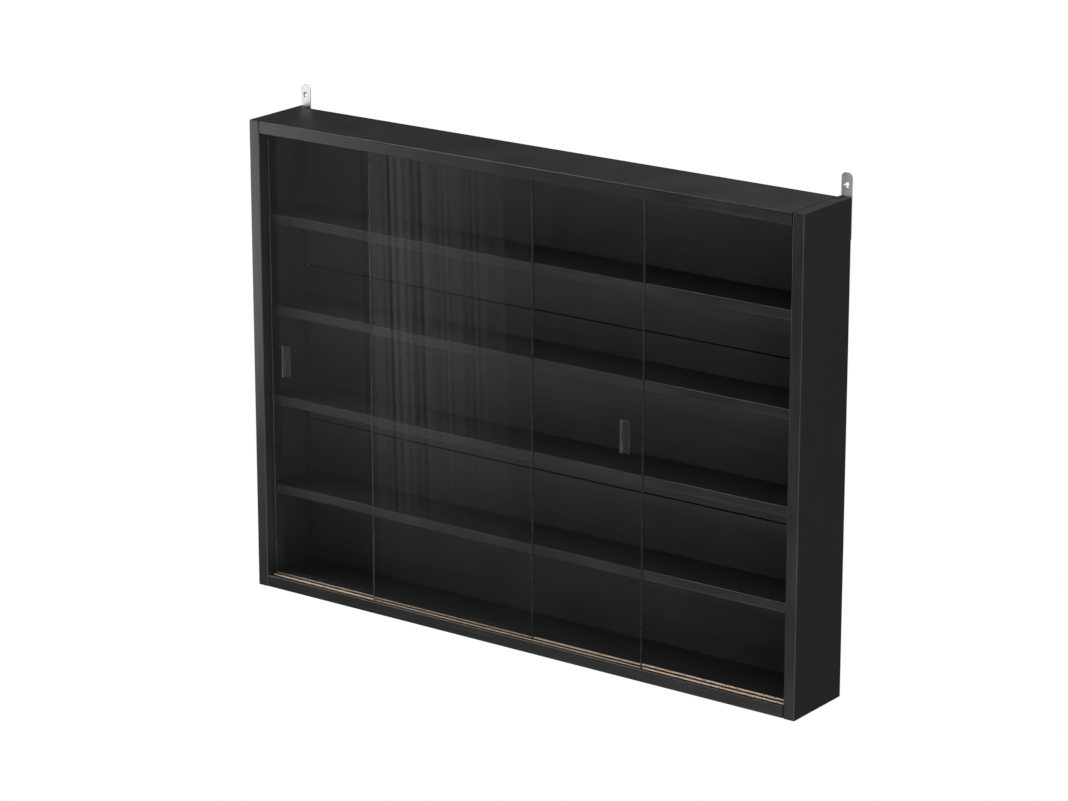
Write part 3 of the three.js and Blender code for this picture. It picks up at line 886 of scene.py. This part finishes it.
def cut_with(bm, cutters):
    """Takes closed meshes out of bm and returns what is left, as a new mesh."""
    def to_object(source):
        mesh = bpy.data.meshes.new("scratch")
        bmesh.ops.recalc_face_normals(source, faces=source.faces)
        source.to_mesh(mesh)
        source.free()
        made = bpy.data.objects.new("scratch", mesh)
        bpy.context.scene.collection.objects.link(made)
        return made

    body = to_object(bm)
    tools = [to_object(cutter) for cutter in cutters]
    for tool in tools:
        step = body.modifiers.new("cut", "BOOLEAN")
        step.operation = "DIFFERENCE"
        step.solver = "EXACT"
        step.object = tool
    graph = bpy.context.evaluated_depsgraph_get()
    left = bmesh.new()
    left.from_mesh(body.evaluated_get(graph).to_mesh())
    for made in (body, *tools):
        mesh = made.data
        bpy.data.objects.remove(made)
        bpy.data.meshes.remove(mesh)
    return left


def cross_cutters():
    """Two tapered blades that cut a driver's cross into a head whose face is at Y = 0."""
    blades = []
    for turn in CROSS_TURNS:
        # The second blade is a little less deep, so that no two faces coincide
        floor = -CROSS_DEPTH * (1 - 0.02 * len(blades))
        bm = bmesh.new()
        bmesh.ops.create_cube(bm, size=1)
        for vert in bm.verts:
            deep = vert.co.y < 0
            length_share, width_share = CROSS_FLOOR if deep else (1, 1)
            vert.co.x *= CROSS_LENGTH * length_share
            vert.co.z *= CROSS_WIDTH * width_share
            vert.co.y = floor if deep else CROSS_DEPTH * 0.3
        blades.append(placed(bm, Matrix.Rotation(math.radians(turn), 4, "Y")))
    return blades


def make_hanger_screws():
    """Countersunk wood screws with a driver's cross."""
    for node in nodes_of("hanger_screw_"):
        low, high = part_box(node)
        length = high.y - low.y
        shank = -length + SCREW_TIP
        profile = [(0, -length), (SCREW_RADIUS * 0.35, -length + 0.5 * MM)]
        profile += rise(SCREW_RADIUS, shank, -SCREW_HEAD_HEIGHT, SCREW_PITCH / 6)
        profile += [(SCREW_HEAD_RADIUS - 0.1 * MM, -0.3 * MM), (SCREW_HEAD_RADIUS, -0.2 * MM)]
        profile += [(SCREW_HEAD_RADIUS, -0.06 * MM), (SCREW_HEAD_RADIUS - 0.06 * MM, 0), (0, 0)]
        cut = thread(shank, -SCREW_HEAD_HEIGHT - 1 * MM, SCREW_PITCH, SCREW_THREAD)
        bm = cut_with(turned(profile, 28, cut), cross_cutters())
        middle = (low + high) / 2
        placed(bm, Matrix.Translation((middle.x, high.y, middle.z)))
        stand_for(node, bm, [ZINC])


def make_nails():
    """Flat-headed nails with a chamfered head and a cone for a tip."""
    for node in nodes_of("back_nail_"):
        low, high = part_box(node)
        head = (high.x - low.x) / 2
        top = NAIL_HEAD_THICKNESS
        length = high.y - low.y - top
        radius = NAIL_RADIUS
        profile = [(0, -length), (radius, -length + 2 * radius)]
        profile += [(radius, -0.3 * MM), (radius * 1.3, 0)]
        profile += [(head - 0.1 * MM, 0), (head, 0.15 * MM), (head, top - 0.3 * MM)]
        profile += [(head - 0.25 * MM, top - 0.08 * MM), (head / 2, top), (0, top)]
        middle = (low + high) / 2
        bm = placed(turned(profile, 24), Matrix.Translation((middle.x, high.y - top, middle.z)))
        stand_for(node, bm, [ZINC])


def make_dowels():
    """Fluted beech dowels with chamfered ends."""
    for node in sorted(n for n in SLOT_OF if "dowel" in n):
        low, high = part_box(node)
        radius = (high.z - low.z) / 2
        half = (high.x - low.x) / 2
        chamfer = DOWEL_CHAMFER
        end = [(0, half), (radius - chamfer, half)]
        end += [(radius, half - chamfer), (radius, half - 1.5 * chamfer)]
        profile = [(r, -y) for r, y in end] + end[::-1]

        def fluted(r, y, angle):
            groove = max(0.0, math.cos(FLUTES * angle)) ** 2
            return r - (FLUTE_DEPTH * groove if r > radius - 0.1 * MM else 0)

        lie = Matrix.Rotation(math.radians(-90), 4, "Z")
        bm = placed(turned(profile, 4 * FLUTES, fluted), Matrix.Translation((low + high) / 2) @ lie)
        stand_for(node, bm, [BEECH])


def make_cam_bolts():
    """Connecting bolts: a coarse thread, a collar, a neck and a ball head."""
    for node in nodes_of("cam_bolt_"):
        low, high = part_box(node)
        end = high.x - low.x - BOLT_THREADED
        first_turn = -BOLT_THREADED + 1 * MM
        profile = [(0, -BOLT_THREADED), (BOLT_RADIUS * 0.6, -BOLT_THREADED)]
        profile += rise(BOLT_RADIUS, first_turn, 0, BOLT_PITCH / 6)
        profile += [(COLLAR_RADIUS - 0.3 * MM, 0.2 * MM), (COLLAR_RADIUS, 0.5 * MM)]
        profile += [(COLLAR_RADIUS, COLLAR_LENGTH - 0.4 * MM), (COLLAR_RADIUS - 0.3 * MM, COLLAR_LENGTH)]
        profile += [(NECK_RADIUS, COLLAR_LENGTH), (NECK_RADIUS, end - 2 * BALL_HALF)]
        for lean in range(-60, 61, 15):
            angle = math.radians(lean)
            below_end = BALL_HALF * (1 - math.sin(angle))
            profile.append((BALL_RADIUS * math.cos(angle) ** 0.5, end - below_end))
        profile += [(BALL_RADIUS * 0.55, end), (0, end)]
        cut = thread(first_turn, 0, BOLT_PITCH, BOLT_THREAD)
        middle = (low + high) / 2
        on_left = middle.x < 0
        foot = low.x + BOLT_THREADED if on_left else high.x - BOLT_THREADED
        turn = Matrix.Rotation(math.radians(-90 if on_left else 90), 4, "Z")
        bm = placed(turned(profile, 28, cut), Matrix.Translation((foot, middle.y, middle.z)) @ turn)
        stand_for(node, bm, [ZINC])


def make_cams():
    """Cast cam drums, from their CAD shape, with eased rims, under moulded caps."""
    for node in nodes_of("cam_lock_"):
        low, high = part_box(node)
        bm = cad_mesh(node)
        rims = []
        for edge in bm.edges:
            at_face = any(axis == Z for axis, end in shared_planes(edge, low, high))
            if at_face and edge.is_manifold and edge.calc_face_angle() > 1:
                rims.append(edge)
        round_over(bm, rims, STEEL_EASE, 1)
        stand_for(node, bm, [ZINC])
    for node in nodes_of("cam_cap_"):
        low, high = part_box(node)
        rim = (high.x - low.x) / 2
        tall = high.z - low.z
        profile = [(0, 0), (rim * 0.7, 0.05 * MM)]
        profile += arc((rim - CAP_ROUNDING, CAP_ROUNDING), CAP_ROUNDING, -80, 0, 6)
        profile += [(rim, CAP_THICKNESS - 0.05 * MM), (rim - 0.1 * MM, CAP_THICKNESS)]
        profile += [(PEG_RADIUS, CAP_THICKNESS), (PEG_RADIUS, tall - PEG_CHAMFER)]
        profile += [(PEG_RADIUS - PEG_CHAMFER, tall), (0, tall)]
        middle = (low + high) / 2
        stand = Matrix.Rotation(math.radians(90), 4, "X")
        bm = placed(turned(profile, 48), Matrix.Translation((middle.x, middle.y, low.z)) @ stand)
        stand_for(node, bm, [BLACK_PLASTIC])


# ---- Hangers ----

HANGER_CORNER = 5 * MM
HANGER_HOLE = 2.2 * MM
HANGER_SINK = 4 * MM
HOLE_BELOW_TIP = 13.5 * MM
PLATE_CORNER_STEPS = 14
SINK_SLOPE = 0.8  # how deep a countersink goes for each unit of its radius
SCREW_PLAY = 0.2 * MM


def sink_cutter(hole, sink, thickness, from_front):
    """A countersink: a hole through a strip of this thickness that widens towards one face."""
    spare = 1 * MM  # how far the cutter reaches past both faces
    profile = [(0, -thickness - spare), (hole, -thickness - spare)]
    profile += [(hole, (hole - sink) * SINK_SLOPE), (sink + spare / SINK_SLOPE, spare), (0, spare)]
    bm = turned(profile, 40)
    if from_front:
        placed(bm, Matrix.Translation((0, -thickness, 0)) @ Matrix.Rotation(math.pi, 4, "Z"))
    return bm


def make_hangers():
    """Steel strips with round corners, a hole to hang each by and two for its screws."""
    for side in ("left", "right"):
        node = "hanger_" + side
        low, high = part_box(node)
        half = (high.x - low.x) / 2
        middle_x = (low.x + high.x) / 2
        thickness = high.y - low.y
        r = HANGER_CORNER
        outline = []
        for cx, cz, start in (
            (half - r, high.z - r, 0),
            (-half + r, high.z - r, 90),
            (-half + r, low.z + r, 180),
            (half - r, low.z + r, 270),
        ):
            outline += arc((cx, cz), r, start, start + 90, PLATE_CORNER_STEPS)
        bm = extrude(outline, lambda u, v, t: (middle_x + u, high.y - t, v), thickness)
        ease_rims(bm, STEEL_EASE)
        hanging = sink_cutter(HANGER_HOLE, HANGER_SINK, thickness, from_front=True)
        holes = [placed(hanging, Matrix.Translation((middle_x, high.y, high.z - HOLE_BELOW_TIP)))]
        for place in ("upper", "lower"):
            screw_low, screw_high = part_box(f"hanger_screw_{side}_{place}")
            screw_z = (screw_low.z + screw_high.z) / 2
            sizes = (SCREW_RADIUS + SCREW_PLAY, SCREW_HEAD_RADIUS + SCREW_PLAY)
            hole = sink_cutter(*sizes, thickness, from_front=False)
            holes.append(placed(hole, Matrix.Translation((middle_x, high.y, screw_z))))
        stand_for(node, cut_with(bm, holes), [STEEL])


# ---- The whole scene ----

make_studio()
make_boards()
make_back()
make_doors()
make_hangers()
make_hanger_screws()
make_nails()
make_dowels()
make_cam_bolts()
make_cams()
